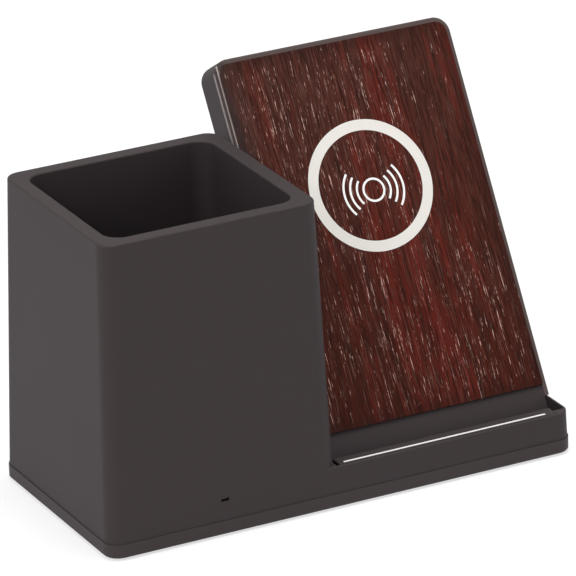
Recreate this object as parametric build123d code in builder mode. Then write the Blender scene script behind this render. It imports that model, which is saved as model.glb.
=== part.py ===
"""Pen holder with a leaning wireless charging stand, as an assembly of separate pieces.

X runs to the right, Y to the back and Z up. The origin lies on the desk, under the
middle of the whole object. All lengths are millimetres.
"""
import os
from math import cos, radians, sin, tan

from build123d import *

os.makedirs("parts", exist_ok=True)

# Driving dimensions: pen cup and base
base_depth = 78.3
cup_width = 80.2
cup_height = 103.0
deck_height = 13.7
cover_height = 4.6
foot_gap = 0.6
draft = 1.66
corner_radius = 5.0
rim_thickness = 5.1
rim_edge = 0.6
lip_edge = 0.4
deck_edge = 0.4
wall = 1.8
cover_proud = 0.3

# Driving dimensions: leaning charging stand
lean = 31.0
stand_width = 84.75
stand_flare = 0.2
stand_overhang = 0.6
stand_setback = 15.6
stand_length = 128.35
stand_thickness = 12.0
stand_gap = 0.65
stand_corner = 5.4
stand_rear_edge = 0.7
stand_front_edge = 0.3
bezel = 1.6
chin_height = 3.7
panel_proud = 0.8
core_thickness = 1.4
veneer_thickness = 0.6
ring_height_share = 0.61323
ring_side_shift = 0.0
ring_outer_radius = 21.8
ring_width = 3.6

# Driving dimensions: toe with its light bar, in front of the phone trough
lip_thickness = 3.3
lip_web = 0.85
toe_depth = 5.25
toe_left_gap = 1.35
toe_right_gap = 4.25
light_bar_width = 0.9
light_bar_left_inset = 2.0
light_bar_right_inset = 3.3
light_bar_front_inset = 1.0
trough_depth = 4.3
trough_floor = 2.0
trough_corner = 1.2
end_wall = 0.85

# Clearances and overrun
overrun = 1.0
slip = 0.1
fit = 0.2

# Inner cup and housing details
cup_corner_radius = 6.0
liner_draft = 1.0
liner_wall = 2.0
cup_floor = 2.4
cup_floor_height = 13.4
rim_cap = 4.0
deck_thickness = 2.2
cover_floor = 2.2
cover_edge = 0.5
boss_radius = 3.5
boss_inset = 11.0
boss_hole_radius = 1.25
tab_width = 12.0
tab_thickness = 1.2
tab_rise = 1.5

# Screws, all of one size but for their length
screw_radius = 1.2
screw_head_radius = 2.3
screw_head_height = 1.5
cover_screw_length = 8.0
stand_screw_length = 6.0
board_screw_length = 3.6
bracket_screw_length = 3.2
head_recess = 1.8
post_sides = 8

# Rubber feet
foot_radius = 5.0
foot_recess = 0.8
foot_inset = 22.0

# Electronics in the base
board_thickness = 1.6
board_side_gap = 17.1
board_end_gap = 1.6
board_rise = 2.4
board_hole_inset = 4.0
board_post_radius = 2.6
chip_size = 7.0
chip_height = 1.2
inductor_size = 9.0
inductor_height = 4.0
lead_plug_length = 6.0
lead_plug_width = 8.0
lead_plug_height = 3.4
socket_width = 8.94
socket_height = 3.26
socket_length = 7.35
socket_wall = 0.3
socket_corner = 1.2
socket_recess = 0.5
socket_tongue = 0.7
status_width = 2.6
status_height = 0.9
status_level = 11.6
status_recess = 0.9
status_led_length = 3.0
status_led_width = 1.6
status_led_height = 1.4
light_pipe_depth = 2.4

# Light bar board under the trough
bar_board_thickness = 1.0
bar_board_width = 5.0
bar_board_drop = 1.6
bar_led_count = 12
bar_led_length = 2.8
bar_led_width = 1.1
bar_led_height = 1.2
bar_post_radius = 1.2

# Charging module in the stand
frame_thickness = 1.6
stand_back = 1.8
light_guide_margin = 4.2
light_guide_lap = 1.7
ring_board_lap = 1.5
ring_board_margin = 5.0
ring_board_thickness = 1.0
ring_led_count = 8
ring_led_length = 3.0
ring_led_depth = 1.4
ring_led_height = 1.2
coil_margin = 1.7
coil_bore = 10.5
coil_wire = 1.15
coil_lead_spacing = 4.0
coil_lead_radius = 0.4
ferrite_thickness = 0.8
bracket_margin = 3.5
bracket_thickness = 1.2
bracket_post_gap = 3.0
bracket_post_radius = 2.4
bracket_post_count = 3
charger_board_side_gap = 12.25
charger_board_top_gap = 9.8
charger_board_level = 14.0
charger_board_thickness = 1.2
charger_board_rise = 3.0
charger_hole_inset = 3.6
post_radius = 2.4
stand_boss_width = 9.0
foot_ledge = 2.0
stand_boss_rise = 5.0
stand_boss_spacing = 27.0
back_rib_height = 1.4
back_rib_width = 1.2
back_rib_count = 5

# Lead between the two boards
lead_radius = 1.1
lead_hole_radius = 2.2

# Levels and places that follow
slope = tan(radians(draft))
flare_slope = tan(radians(stand_flare))
lean_cos = cos(radians(lean))
lean_sin = sin(radians(lean))
lean_tan = tan(radians(lean))

cover_z = foot_gap
parting_z = cover_z + cover_height
deck_z = cover_z + deck_height
rim_z = cover_z + cup_height
cover_top_z = cover_z + cover_floor
floor_z = deck_z - trough_depth
floor_under_z = floor_z - trough_floor
deck_under_z = deck_z - deck_thickness
cup_under_z = cover_z + cup_floor_height
cup_floor_z = cup_under_z + cup_floor
board_z = cover_top_z + board_rise
board_top_z = board_z + board_thickness

rear_reach = stand_rear_edge * (1 - lean_cos - lean_sin)
stand_reach = stand_setback + stand_length * lean_sin + stand_thickness * lean_cos + rear_reach
overall_depth = cover_proud + stand_reach
front_y = cover_proud - overall_depth / 2
back_y = front_y + base_depth
middle_y = front_y + base_depth / 2
base_width = cup_width + stand_gap + stand_width - stand_overhang
deck_inset = (deck_z - parting_z) * slope
rim_inset = (rim_z - parting_z) * slope
stand_side_reach = stand_overhang - deck_inset + (stand_length - stand_corner) * flare_slope
overall_width = cover_proud + base_width + max(cover_proud, stand_side_reach)
left_x = cover_proud - overall_width / 2
right_x = left_x + base_width
middle_x = (left_x + right_x) / 2
cup_x = left_x + cup_width / 2
cup_right_x = left_x + cup_width

trough_left_x = cup_right_x - deck_inset
trough_right_x = right_x - deck_inset - end_wall
trough_front_y = front_y + deck_inset + lip_thickness
rebate_front_y = front_y + deck_inset + lip_web
stand_left_x = trough_left_x + stand_gap
stand_right_x = right_x - deck_inset + stand_overhang
stand_x = (stand_left_x + stand_right_x) / 2
stand_y = front_y + stand_setback
foot_left_x = trough_left_x + fit
foot_right_x = trough_right_x - fit
foot_width = foot_right_x - foot_left_x
foot_x = (foot_left_x + foot_right_x) / 2
toe_left_x = trough_left_x + toe_left_gap
toe_right_x = trough_right_x - toe_right_gap
toe_front_y = rebate_front_y + slip
toe_length = toe_right_x - toe_left_x
light_bar_length = toe_length - light_bar_left_inset - light_bar_right_inset
light_bar_left_x = toe_left_x + light_bar_left_inset
light_bar_x = light_bar_left_x + light_bar_length / 2
light_bar_y = toe_front_y + light_bar_front_inset + light_bar_width / 2

# The stand's face: x to the right, y up along the slab, z out of the face
stand_plane = Plane(
    origin=(stand_x, stand_y, deck_z), x_dir=(1, 0, 0), z_dir=(0, -lean_cos, lean_sin)
)
out_of_face = Axis(stand_plane.origin, stand_plane.z_dir)
up_the_face = Axis(stand_plane.origin, stand_plane.y_dir)
foot_drop = (deck_z - floor_z) / lean_cos
drop_margin = foot_drop + stand_thickness
panel_back = core_thickness + veneer_thickness - panel_proud
frame_back = panel_back + frame_thickness
panel_inset = bezel + slip
panel_width = stand_width - 2 * panel_inset
panel_top = stand_length - panel_inset
panel_corner = stand_corner - panel_inset
panel_foot_corner = panel_proud
ring_height = stand_length * ring_height_share
ring_inner_radius = ring_outer_radius - ring_width
light_guide_radius = ring_outer_radius + light_guide_margin
light_guide_bore = ring_inner_radius - light_guide_lap
ring_board_bore = light_guide_radius - ring_board_lap
ring_board_radius = light_guide_radius + ring_board_margin
ring_led_circle = light_guide_radius + slip + ring_led_depth / 2
coil_radius = ring_outer_radius + coil_margin
ferrite_radius = coil_radius - fit
bracket_radius = coil_radius + bracket_margin
bracket_post_reach = ring_board_radius + bracket_post_gap
coil_front = frame_back + fit
coil_back = coil_front + coil_wire
ferrite_back = coil_back + ferrite_thickness
bracket_back = ferrite_back + bracket_thickness
inner_back = stand_thickness - stand_back
charger_board_back = inner_back - charger_board_rise
charger_board_front = charger_board_back - charger_board_thickness
charger_board_width = stand_width - 2 * charger_board_side_gap
charger_board_height = (
    ring_height - bracket_radius - charger_board_level - charger_board_top_gap
)

cover_screw_spots = [
    (left_x + boss_inset, front_y + boss_inset),
    (left_x + boss_inset, back_y - boss_inset),
    (cup_right_x - boss_inset, front_y + boss_inset),
    (cup_right_x - boss_inset, back_y - boss_inset),
    ((cup_right_x + right_x) / 2, back_y - boss_inset),
    (right_x - boss_inset, back_y - boss_inset),
]
cup_boss_count = 4
foot_spots = [
    (
        middle_x + side * (base_width / 2 - foot_inset),
        middle_y + end * (base_depth / 2 - boss_inset),
    )
    for side in (-1, 1)
    for end in (-1, 1)
]
board_length = base_depth - 2 * (wall + board_end_gap)
board_width = cup_width - 2 * board_side_gap
board_hole_spots = [
    (
        cup_x + side * (board_width / 2 - board_hole_inset),
        middle_y + end * (board_length / 2 - board_hole_inset),
    )
    for side in (-1, 1)
    for end in (-1, 1)
]
charger_spots = [
    (
        side * (charger_board_width / 2 - charger_hole_inset),
        charger_board_level + charger_board_height / 2
        + end * (charger_board_height / 2 - charger_hole_inset),
    )
    for side in (-1, 1)
    for end in (-1, 1)
]
bracket_angles = [90 + turn * 360 / bracket_post_count for turn in range(bracket_post_count)]
bracket_spots = [
    (
        ring_side_shift + bracket_post_reach * cos(radians(angle)),
        ring_height + bracket_post_reach * sin(radians(angle)),
    )
    for angle in bracket_angles
]
stand_boss_spots = [turn * stand_boss_spacing for turn in (-1, 0, 1)]
foot_depth = stand_thickness - frame_back
stand_screw_y = (
    stand_y - (deck_z - floor_z) * lean_tan + (frame_back + foot_depth / 2) / lean_cos
    + stand_screw_length / 2 * lean_tan
)
lead_x = stand_x + stand_boss_spacing / 2


def stand_outline(low, high, inset):
    """Outline of the stand between two heights, a little wider at its top."""
    half_low = stand_width / 2 + low * flare_slope - inset
    half_high = stand_width / 2 + high * flare_slope - inset
    return Polygon(
        (-half_low, low), (half_low, low), (half_high, high), (-half_high, high), align=None
    )


# Upper housing: the drafted cup shape, and beside it the low deck
with BuildPart() as cup_hollow:
    with BuildSketch(Plane.XY.offset(parting_z - overrun)):
        with Locations((cup_x, middle_y)):
            RectangleRounded(
                cup_width - 2 * wall, base_depth - 2 * wall, corner_radius - wall
            )
    with BuildSketch(Plane.XY.offset(rim_z - rim_cap)):
        with Locations((cup_x, middle_y)):
            RectangleRounded(
                cup_width - 2 * rim_inset - 2 * wall,
                base_depth - 2 * rim_inset - 2 * wall,
                corner_radius - wall,
            )
    loft(ruled=True)

liner_inset = rim_thickness - liner_wall
liner_shrink = (rim_z - cup_under_z) * tan(radians(liner_draft))
with BuildPart() as cup_liner:
    with BuildSketch(Plane.XY.offset(rim_z - rim_cap / 2)):
        with Locations((cup_x, middle_y)):
            RectangleRounded(
                cup_width - 2 * rim_inset - 2 * liner_inset,
                base_depth - 2 * rim_inset - 2 * liner_inset,
                cup_corner_radius + liner_wall,
            )
    with BuildSketch(Plane.XY.offset(cup_under_z)):
        with Locations((cup_x, middle_y)):
            RectangleRounded(
                cup_width - 2 * rim_inset - 2 * liner_inset - 2 * liner_shrink,
                base_depth - 2 * rim_inset - 2 * liner_inset - 2 * liner_shrink,
                cup_corner_radius + liner_wall,
            )
    loft(ruled=True)

with BuildPart() as cup_pocket:
    with BuildSketch(Plane.XY.offset(rim_z)):
        with Locations((cup_x, middle_y)):
            RectangleRounded(
                cup_width - 2 * rim_inset - 2 * rim_thickness,
                base_depth - 2 * rim_inset - 2 * rim_thickness,
                cup_corner_radius,
            )
    with BuildSketch(Plane.XY.offset(cup_floor_z)):
        with Locations((cup_x, middle_y)):
            RectangleRounded(
                cup_width - 2 * rim_inset - 2 * rim_thickness - 2 * liner_shrink,
                base_depth - 2 * rim_inset - 2 * rim_thickness - 2 * liner_shrink,
                cup_corner_radius,
            )
    loft(ruled=True)

# The slot that takes the stand's foot leans with the stand
slot_top = fit + overrun
with BuildPart() as foot_slot:
    with BuildSketch(stand_plane.offset(slot_top)):
        with Locations((foot_x - stand_x, 0)):
            Rectangle(trough_right_x - trough_left_x, 2 * drop_margin)
    extrude(amount=-(stand_thickness + fit + slot_top))
    split(bisect_by=Plane.XY.offset(floor_z), keep=Keep.TOP)

with BuildPart() as deck_block:
    for level, inset in ((parting_z, 0), (deck_z, deck_inset)):
        with BuildSketch(Plane.XY.offset(level)) as deck_outline:
            with Locations(((cup_x + right_x - inset) / 2, middle_y)):
                Rectangle(right_x - inset - cup_x, base_depth - 2 * inset)
            fillet(deck_outline.vertices().group_by(Axis.X)[-1], corner_radius)
    loft(ruled=True)
    fillet(faces().sort_by(Axis.Z)[-1].edges(), deck_edge)

with BuildPart() as upper_housing:
    with BuildSketch(Plane.XY.offset(parting_z)):
        with Locations((cup_x, middle_y)):
            RectangleRounded(cup_width, base_depth, corner_radius)
    with BuildSketch(Plane.XY.offset(rim_z)):
        with Locations((cup_x, middle_y)):
            RectangleRounded(
                cup_width - 2 * rim_inset, base_depth - 2 * rim_inset, corner_radius
            )
    loft(ruled=True)
    fillet(faces().sort_by(Axis.Z)[-1].edges(), rim_edge)
    add(deck_block.part)
    # hollow from below, with one wall thickness all round
    add(cup_hollow.part, mode=Mode.SUBTRACT)
    with BuildSketch(Plane.XY.offset(parting_z - overrun)) as deck_hollow:
        with Locations(((cup_x + right_x) / 2, middle_y)):
            Rectangle(right_x - cup_x - 2 * wall, base_depth - 2 * wall)
        fillet(deck_hollow.vertices().group_by(Axis.X)[-1], corner_radius - wall)
    extrude(amount=deck_under_z - parting_z + overrun, mode=Mode.SUBTRACT)
    # the cup's inner wall hangs from the rim
    add(cup_liner.part)
    add(cup_pocket.part, mode=Mode.SUBTRACT)
    fillet(faces().filter_by(Axis.Z).sort_by(Axis.Z)[-1].inner_wires()[0].edges(), rim_edge)
    # tub round the phone trough and the stand's foot
    tub_left_x = trough_left_x - wall
    tub_right_x = right_x - wall
    tub_rear_y = stand_y + (stand_thickness + fit) / lean_cos + wall
    with BuildSketch(Plane.XY.offset(floor_under_z)):
        with Locations(((tub_left_x + tub_right_x) / 2, (front_y + wall + tub_rear_y) / 2)):
            Rectangle(tub_right_x - tub_left_x + slip, tub_rear_y - front_y - wall + slip)
    extrude(amount=deck_under_z - floor_under_z + slip)
    with BuildSketch(Plane.XY.offset(floor_z)) as trough_outline:
        with Locations(
            ((trough_left_x + trough_right_x) / 2, (trough_front_y + stand_y) / 2)
        ):
            Rectangle(trough_right_x - trough_left_x, stand_y - trough_front_y)
        front_right = trough_outline.vertices().group_by(Axis.Y)[0].sort_by(Axis.X)[-1]
        fillet(front_right, trough_corner)
    extrude(amount=trough_depth + overrun, mode=Mode.SUBTRACT)
    add(foot_slot.part, mode=Mode.SUBTRACT)
    # rebate in the lip for the toe strip
    with BuildSketch(Plane.XY.offset(floor_z)):
        with Locations(
            ((trough_left_x + toe_right_x + slip) / 2, (rebate_front_y + trough_front_y) / 2)
        ):
            Rectangle(toe_right_x + slip - trough_left_x, trough_front_y - rebate_front_y + slip)
    extrude(amount=trough_depth + overrun, mode=Mode.SUBTRACT)
    # light bar slot, lead hole and screw holes in the trough's floor
    with BuildSketch(Plane.XY.offset(floor_under_z - overrun)):
        with Locations((light_bar_x, light_bar_y)):
            Rectangle(light_bar_length + 2 * fit, light_bar_width + 2 * fit)
        with Locations((lead_x, stand_screw_y)):
            Circle(lead_hole_radius)
        with Locations([(stand_x + spot, stand_screw_y) for spot in stand_boss_spots]):
            RegularPolygon(screw_radius + fit, post_sides)
    extrude(amount=trough_floor + 2 * overrun, mode=Mode.SUBTRACT)
    # posts that carry the light bar's board
    bar_board_front_y = front_y + wall + fit
    bar_posts_y = bar_board_front_y + bar_board_width - bar_post_radius
    with BuildSketch(Plane.XY.offset(floor_under_z - bar_board_drop)):
        with Locations(
            [(light_bar_x + turn * light_bar_length / 3, bar_posts_y) for turn in (-1, 0, 1)]
        ):
            RegularPolygon(bar_post_radius, post_sides)
    extrude(amount=bar_board_drop + trough_floor / 2)
    # bosses for the cover's screws, under the cup's floor and under the deck
    with BuildSketch(Plane.XY.offset(parting_z)):
        with Locations(cover_screw_spots[:cup_boss_count]):
            RegularPolygon(boss_radius, post_sides)
    extrude(amount=cup_under_z - parting_z + slip)
    with BuildSketch(Plane.XY.offset(parting_z)):
        with Locations(cover_screw_spots[cup_boss_count:]):
            RegularPolygon(boss_radius, post_sides)
    extrude(amount=deck_under_z - parting_z + slip)
    with BuildSketch(Plane.XY.offset(parting_z)):
        with Locations(cover_screw_spots):
            RegularPolygon(boss_hole_radius, post_sides)
    extrude(amount=cover_screw_length - slip, mode=Mode.SUBTRACT)
    # charging socket at the back, status window at the front
    with BuildSketch(Plane.XZ.offset(-back_y - overrun)):
        with Locations((cup_x, board_top_z + socket_height / 2)):
            RectangleRounded(
                socket_width + 2 * fit, socket_height + 2 * fit, socket_corner + fit
            )
    extrude(amount=wall + 2 * overrun, mode=Mode.SUBTRACT)
    with BuildSketch(Plane.XZ.offset(-front_y + overrun)):
        with Locations((cup_x, cover_z + status_level)):
            Rectangle(status_width + 2 * slip, status_height + 2 * slip)
    extrude(amount=-(wall + 2 * overrun), mode=Mode.SUBTRACT)
upper_housing.part.label = "upper_housing"

# Bottom cover, a little proud of the housing, with locating tabs
with BuildPart() as bottom_cover:
    with BuildSketch(Plane.XY.offset(cover_z)):
        with Locations((middle_x, middle_y)):
            RectangleRounded(
                base_width + 2 * cover_proud,
                base_depth + 2 * cover_proud,
                corner_radius + cover_proud,
            )
    extrude(amount=cover_height)
    chamfer(faces().sort_by(Axis.Z)[0].edges(), cover_edge)
    with BuildSketch(Plane.XY.offset(cover_top_z)):
        with Locations((middle_x, middle_y)):
            RectangleRounded(
                base_width - 2 * wall, base_depth - 2 * wall, corner_radius - wall
            )
    extrude(amount=cover_height, mode=Mode.SUBTRACT)
    deck_width = right_x - cup_right_x
    back_tab_y = back_y - wall - fit - tab_thickness / 2
    tab_spots = [
        (left_x + wall + fit + tab_thickness / 2, middle_y, tab_thickness, tab_width),
        (right_x - wall - fit - tab_thickness / 2, middle_y, tab_thickness, tab_width),
        (cup_right_x + deck_width / 4, back_tab_y, tab_width, tab_thickness),
        (cup_right_x + deck_width * 3 / 4, back_tab_y, tab_width, tab_thickness),
    ]
    for tab_x, tab_y, tab_across, tab_along in tab_spots:
        with BuildSketch(Plane.XY.offset(cover_top_z - slip)):
            with Locations((tab_x, tab_y)):
                Rectangle(tab_across, tab_along)
        extrude(amount=parting_z + tab_rise - cover_top_z + slip)
    # raised seats under the housing's bosses, and posts for the main board
    with BuildSketch(Plane.XY.offset(cover_top_z - slip)):
        with Locations(cover_screw_spots):
            RegularPolygon(boss_radius, post_sides)
    extrude(amount=parting_z - cover_top_z + slip)
    with BuildSketch(Plane.XY.offset(cover_top_z - slip)):
        with Locations(board_hole_spots):
            RegularPolygon(board_post_radius, post_sides)
    extrude(amount=board_rise + slip)
    with BuildSketch(Plane.XY.offset(cover_top_z)):
        with Locations(board_hole_spots):
            RegularPolygon(screw_radius, post_sides)
    extrude(amount=board_rise, mode=Mode.SUBTRACT)
    with Locations([Pos(x, y, cover_z) * Rot(X=180) for x, y in cover_screw_spots]):
        CounterBoreHole(
            screw_radius + fit, screw_head_radius + fit, head_recess, cover_height + overrun
        )
    with BuildSketch(Plane.XY.offset(cover_z)):
        with Locations(foot_spots):
            Circle(foot_radius + slip)
    extrude(amount=foot_recess, mode=Mode.SUBTRACT)
bottom_cover.part.label = "bottom_cover"

# Four rubber feet in their recesses
with BuildPart() as rubber_feet:
    with BuildSketch():
        with Locations(foot_spots):
            Circle(foot_radius)
    extrude(amount=foot_gap + foot_recess)
    chamfer(edges().group_by(Axis.Z)[0], foot_gap / 2)
rubber_feet.part.label = "rubber_feet"

# Cover screws, driven from below
with BuildPart() as cover_screws:
    with BuildSketch(Plane.XY.offset(cover_z + head_recess - screw_head_height)):
        with Locations(cover_screw_spots):
            Circle(screw_head_radius)
    extrude(amount=screw_head_height)
    with BuildSketch(Plane.XY.offset(cover_z + head_recess - slip)):
        with Locations(cover_screw_spots):
            RegularPolygon(screw_radius, post_sides)
    extrude(amount=cover_screw_length + slip)
cover_screws.part.label = "cover_screws"

# Rear shell of the stand: an open tray that leans back, with a narrower foot
with BuildPart() as foot_blank:
    with BuildSketch(stand_plane.offset(-frame_back - slip)):
        with Locations((foot_x - stand_x, 0)):
            Rectangle(foot_width, 2 * drop_margin)
    extrude(amount=-(foot_depth - slip))
    split(bisect_by=Plane.XY.offset(floor_z), keep=Keep.TOP)
    split(bisect_by=Plane.XY.offset(deck_z + slip), keep=Keep.BOTTOM)

with BuildPart() as foot_bosses:
    with BuildSketch(stand_plane.offset(-frame_back - slip)):
        with Locations([(spot, 0) for spot in stand_boss_spots]):
            Rectangle(stand_boss_width, 2 * drop_margin)
    extrude(amount=-(foot_depth - slip - stand_back / 2))
    split(bisect_by=Plane.XY.offset(floor_z), keep=Keep.TOP)
    split(bisect_by=Plane.XY.offset(deck_z + stand_boss_rise), keep=Keep.BOTTOM)

foot_wall = bezel
with BuildPart() as stand_shell:
    with BuildSketch(stand_plane) as shell_outline:
        stand_outline(-drop_margin, stand_length, 0)
        fillet(shell_outline.vertices().group_by(Axis.Y)[-1], stand_corner)
    extrude(amount=-stand_thickness)
    fillet(faces().sort_by(out_of_face)[0].edges().sort_by(up_the_face)[1:], stand_rear_edge)
    chamfer(faces().sort_by(out_of_face)[-1].edges().sort_by(up_the_face)[1:], stand_front_edge)
    split(bisect_by=Plane.XY.offset(deck_z), keep=Keep.TOP)
    add(foot_blank.part)
    # the frame's seat, the tray's inside above its foot ledges, and the hollow of its foot
    for low, depth in ((0, frame_back + slip), (foot_ledge, inner_back)):
        with BuildSketch(stand_plane.offset(overrun)) as tray_outline:
            stand_outline(low, stand_length - bezel, bezel)
            fillet(tray_outline.vertices().group_by(Axis.Y)[-1], stand_corner - bezel)
        extrude(amount=-(depth + overrun), mode=Mode.SUBTRACT)
    with BuildSketch(stand_plane.offset(overrun)):
        with Locations((foot_x - stand_x, 0)):
            Rectangle(foot_width - 2 * foot_wall, 2 * drop_margin)
    extrude(amount=-(inner_back + overrun), mode=Mode.SUBTRACT)
    # ribs on the back wall
    rib_span = stand_length - bezel - stand_corner - charger_board_level
    with BuildSketch(stand_plane.offset(-inner_back - slip)):
        for turn in range(back_rib_count):
            rib_share = (turn + 1 / 2) / back_rib_count
            with Locations((0, charger_board_level + rib_share * rib_span)):
                Rectangle(stand_width - bezel, back_rib_width)
    extrude(amount=back_rib_height + slip)
    # posts for the charger board
    with BuildSketch(stand_plane.offset(-inner_back - slip)):
        with Locations(charger_spots):
            RegularPolygon(post_radius, post_sides)
    extrude(amount=charger_board_rise + slip)
    with BuildSketch(stand_plane.offset(-charger_board_back)):
        with Locations(charger_spots):
            RegularPolygon(screw_radius, post_sides)
    extrude(amount=-(board_screw_length - charger_board_thickness + slip), mode=Mode.SUBTRACT)
    # foot bosses and their screw holes
    add(foot_bosses.part)
    with BuildSketch(Plane.XY.offset(floor_z)):
        with Locations([(stand_x + spot, stand_screw_y) for spot in stand_boss_spots]):
            RegularPolygon(screw_radius, post_sides)
    extrude(amount=stand_screw_length - trough_floor + slip, mode=Mode.SUBTRACT)
stand_shell.part.label = "stand_shell"

# Front frame: the plate behind the panel, with the chin that stands in the trough
with BuildPart() as chin_blank:
    with BuildSketch(stand_plane):
        with Locations((foot_x - stand_x, 0)):
            Rectangle(foot_width, 2 * drop_margin)
    extrude(amount=-frame_back)
    split(bisect_by=Plane.XY.offset(floor_z), keep=Keep.TOP)
    split(bisect_by=Plane.XY.offset(deck_z - slip), keep=Keep.BOTTOM)

with BuildPart() as front_frame:
    with BuildSketch(stand_plane.offset(-panel_back)) as frame_outline:
        stand_outline(0, panel_top, panel_inset)
        fillet(frame_outline.vertices().group_by(Axis.Y)[-1], panel_corner)
    extrude(amount=-frame_thickness)
    with BuildSketch(stand_plane):
        with Locations((0, (chin_height - slip - drop_margin) / 2)):
            Rectangle(panel_width, chin_height - slip + drop_margin)
    extrude(amount=-frame_back)
    split(bisect_by=Plane.XY.offset(floor_z), keep=Keep.TOP)
    add(chin_blank.part)
    # round window for the light guide, with a notch for each light
    with BuildSketch(stand_plane.offset(-panel_back + overrun)):
        with Locations((ring_side_shift, ring_height)):
            Circle(light_guide_radius + slip)
            with PolarLocations(ring_led_circle, ring_led_count):
                Rectangle(ring_led_depth + 2 * fit, ring_led_length + 2 * fit)
    extrude(amount=-(frame_thickness + 2 * overrun), mode=Mode.SUBTRACT)
    # posts for the coil bracket
    with BuildSketch(stand_plane.offset(-frame_back + slip)):
        with Locations(bracket_spots):
            RegularPolygon(bracket_post_radius, post_sides)
    extrude(amount=-(ferrite_back - frame_back + slip))
    with BuildSketch(stand_plane.offset(-ferrite_back)):
        with Locations(bracket_spots):
            RegularPolygon(screw_radius, post_sides)
    extrude(amount=bracket_screw_length - bracket_thickness + slip, mode=Mode.SUBTRACT)
front_frame.part.label = "front_frame"

# Clear core of the panel
with BuildPart() as panel_core:
    with BuildSketch(stand_plane.offset(-panel_back)) as core_outline:
        stand_outline(chin_height, panel_top, panel_inset)
        fillet(core_outline.vertices().group_by(Axis.Y)[-1], panel_corner)
        fillet(core_outline.vertices().group_by(Axis.Y)[0], panel_foot_corner)
    extrude(amount=core_thickness)
panel_core.part.label = "panel_core"

# Wood veneer on the core, with the round cut-out for the ring
with BuildPart() as wood_veneer:
    with BuildSketch(stand_plane.offset(core_thickness - panel_back)) as veneer_outline:
        stand_outline(chin_height, panel_top, panel_inset)
        fillet(veneer_outline.vertices().group_by(Axis.Y)[-1], panel_corner)
        fillet(veneer_outline.vertices().group_by(Axis.Y)[0], panel_foot_corner)
        with Locations((ring_side_shift, ring_height)):
            Circle(ring_outer_radius, mode=Mode.SUBTRACT)
    extrude(amount=veneer_thickness)
wood_veneer.part.label = "wood_veneer"

# Veneer disc inside the ring
with BuildPart() as veneer_disc:
    with BuildSketch(stand_plane.offset(core_thickness - panel_back)):
        with Locations((ring_side_shift, ring_height)):
            Circle(ring_inner_radius)
    extrude(amount=veneer_thickness)
veneer_disc.part.label = "veneer_disc"

# Milky ring between the two
with BuildPart() as light_ring:
    with BuildSketch(stand_plane.offset(core_thickness - panel_back)):
        with Locations((ring_side_shift, ring_height)):
            Circle(ring_outer_radius)
            Circle(ring_inner_radius, mode=Mode.SUBTRACT)
    extrude(amount=veneer_thickness)
light_ring.part.label = "light_ring"

# Clear light guide behind the ring
with BuildPart() as light_guide:
    with BuildSketch(stand_plane.offset(-panel_back)):
        with Locations((ring_side_shift, ring_height)):
            Circle(light_guide_radius)
            Circle(light_guide_bore, mode=Mode.SUBTRACT)
    extrude(amount=-frame_thickness)
light_guide.part.label = "light_guide"

# Ring board and its lights, which shine into the guide's edge
with BuildPart() as ring_board:
    with BuildSketch(stand_plane.offset(-frame_back)):
        with Locations((ring_side_shift, ring_height)):
            Circle(ring_board_radius)
            Circle(ring_board_bore, mode=Mode.SUBTRACT)
    extrude(amount=-ring_board_thickness)
ring_board.part.label = "ring_board"

with BuildPart() as ring_lights:
    with BuildSketch(stand_plane.offset(-frame_back)):
        with Locations((ring_side_shift, ring_height)):
            with PolarLocations(ring_led_circle, ring_led_count):
                Rectangle(ring_led_depth, ring_led_length)
    extrude(amount=ring_led_height)
ring_lights.part.label = "ring_lights"

# Charging coil, with its two ends led down to the board
with BuildPart() as charging_coil:
    with BuildSketch(stand_plane.offset(-coil_front)):
        with Locations((ring_side_shift, ring_height)):
            Circle(coil_radius)
            Circle(coil_bore, mode=Mode.SUBTRACT)
    extrude(amount=-coil_wire)
    lead_top = ring_height - coil_radius + coil_wire
    lead_bottom = charger_board_level + charger_board_height - charger_hole_inset
    with BuildSketch(stand_plane.offset(-coil_back - slip + coil_lead_radius)):
        for side in (-1, 1):
            coil_lead_x = ring_side_shift + side * coil_lead_spacing / 2
            with Locations((coil_lead_x, (lead_top + lead_bottom) / 2)):
                Rectangle(2 * coil_lead_radius, lead_top - lead_bottom)
    extrude(amount=-2 * coil_lead_radius + slip)
charging_coil.part.label = "charging_coil"

# Ferrite sheet behind the coil
with BuildPart() as ferrite_sheet:
    with BuildSketch(stand_plane.offset(-coil_back)):
        with Locations((ring_side_shift, ring_height)):
            Circle(ferrite_radius)
        with Locations((ring_side_shift, ring_height - ferrite_radius)):
            Rectangle(
                2 * coil_lead_spacing, 4 * coil_wire, mode=Mode.SUBTRACT
            )
    extrude(amount=-ferrite_thickness)
ferrite_sheet.part.label = "ferrite_sheet"

# Bracket that clamps coil and ferrite to the frame
with BuildPart() as coil_bracket:
    with BuildSketch(stand_plane.offset(-ferrite_back)):
        with Locations((ring_side_shift, ring_height)):
            Circle(bracket_radius)
            with PolarLocations(
                bracket_post_reach / 2, bracket_post_count, start_angle=bracket_angles[0]
            ):
                SlotCenterToCenter(bracket_post_reach, 2 * bracket_post_radius)
            Circle(coil_bore, mode=Mode.SUBTRACT)
        with Locations(bracket_spots):
            RegularPolygon(screw_radius + slip, post_sides, mode=Mode.SUBTRACT)
    extrude(amount=-bracket_thickness)
coil_bracket.part.label = "coil_bracket"

with BuildPart() as bracket_screws:
    with BuildSketch(stand_plane.offset(-bracket_back)):
        with Locations(bracket_spots):
            RegularPolygon(screw_head_radius, post_sides)
    extrude(amount=-screw_head_height)
    with BuildSketch(stand_plane.offset(-bracket_back - slip)):
        with Locations(bracket_spots):
            RegularPolygon(screw_radius, post_sides)
    extrude(amount=bracket_screw_length + slip)
bracket_screws.part.label = "bracket_screws"

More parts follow.
